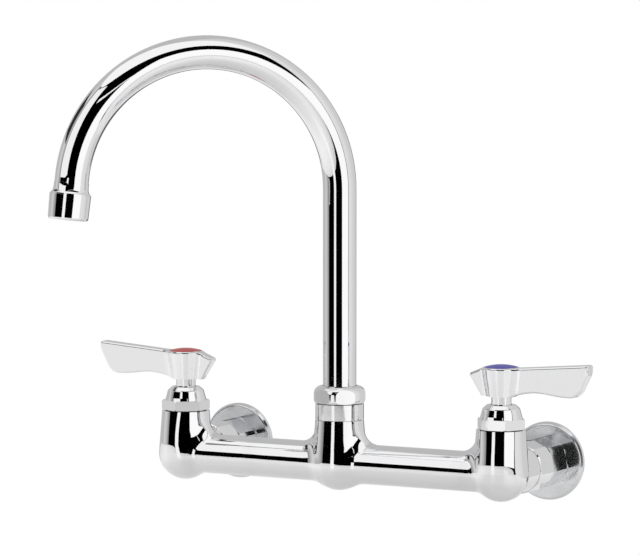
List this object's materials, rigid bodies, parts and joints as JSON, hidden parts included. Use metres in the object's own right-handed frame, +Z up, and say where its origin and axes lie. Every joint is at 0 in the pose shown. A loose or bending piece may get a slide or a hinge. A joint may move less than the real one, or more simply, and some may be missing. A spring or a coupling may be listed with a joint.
{
  "type": "wall mounted kitchen faucet",
  "caption": "Wall-mounted mixing faucet with a rigid swivelling gooseneck spout, two lever handles on quarter-turn valves, union inlets and round wall flanges.",
  "frame": {"origin": "on the wall plane, midway between the two inlets, at the height of their axes", "axes": "+Y into the wall along the inlets, +Z up, +X towards the cold side, from the hot inlet to the cold one"},
  "size_m": [0.3132, 0.1844, 0.2659],
  "materials": {
    "chrome": "polished",
    "brass": "machined",
    "ceramic": "lapped",
    "black_rubber": "matte",
    "white_nylon": "matte",
    "stainless": "brushed",
    "red_index": "glossy",
    "blue_index": "glossy"
  },
  "bodies": {
    "body": {"faucet_body": "chrome", "spout_nut": "chrome", "spout_lower_ring": "white_nylon", "spout_upper_ring": "white_nylon", "hot_inlet_nut": "chrome", "hot_inlet_fitting": "chrome", "hot_wall_flange": "chrome", "hot_tailpiece": "brass", "hot_inlet_washer": "black_rubber", "hot_cartridge_housing": "brass", "hot_fixed_disc": "ceramic", "hot_thrust_washer": "white_nylon", "hot_seat_seal": "black_rubber", "hot_housing_o_ring": "black_rubber", "hot_bonnet_gasket": "black_rubber", "hot_bonnet": "chrome", "cold_inlet_nut": "chrome", "cold_inlet_fitting": "chrome", "cold_wall_flange": "chrome", "cold_tailpiece": "brass", "cold_inlet_washer": "black_rubber", "cold_cartridge_housing": "brass", "cold_fixed_disc": "ceramic", "cold_thrust_washer": "white_nylon", "cold_seat_seal": "black_rubber", "cold_housing_o_ring": "black_rubber", "cold_bonnet_gasket": "black_rubber", "cold_bonnet": "chrome"},
    "spout": {"spout_tube": "chrome", "spout_sleeve": "brass", "spout_o_rings": "black_rubber", "outlet_ferrule": "chrome", "aerator_shell": "chrome", "aerator_washer": "black_rubber", "aerator_screen": "stainless", "aerator_insert": "white_nylon"},
    "hot_handle": {"hot_handle": "chrome", "hot_handle_screw": "stainless", "hot_index_button": "red_index", "hot_valve_stem": "chrome", "hot_stem_clip": "stainless", "hot_rotating_disc": "ceramic", "hot_stem_o_rings": "black_rubber"},
    "cold_handle": {"cold_handle": "chrome", "cold_handle_screw": "stainless", "cold_index_button": "blue_index", "cold_valve_stem": "chrome", "cold_stem_clip": "stainless", "cold_rotating_disc": "ceramic", "cold_stem_o_rings": "black_rubber"}
  },
  "joints": [
    {"name": "spout_swivel", "type": "hinge", "parent": "body", "child": "spout", "pos_m": [0, -0.0644, 0.03], "axis": [0, 0, 1], "range_deg": [-58.85, 151.15]},
    {"name": "hot_valve_turn", "type": "hinge", "parent": "body", "child": "hot_handle", "pos_m": [-0.1016, -0.0644, 0.03], "axis": [0, 0, 1], "range_deg": [-2.5, 87.5]},
    {"name": "cold_valve_turn", "type": "hinge", "parent": "body", "child": "cold_handle", "pos_m": [0.1016, -0.0644, 0.03], "axis": [0, 0, -1], "range_deg": [-2.5, 87.5]}
  ]
}
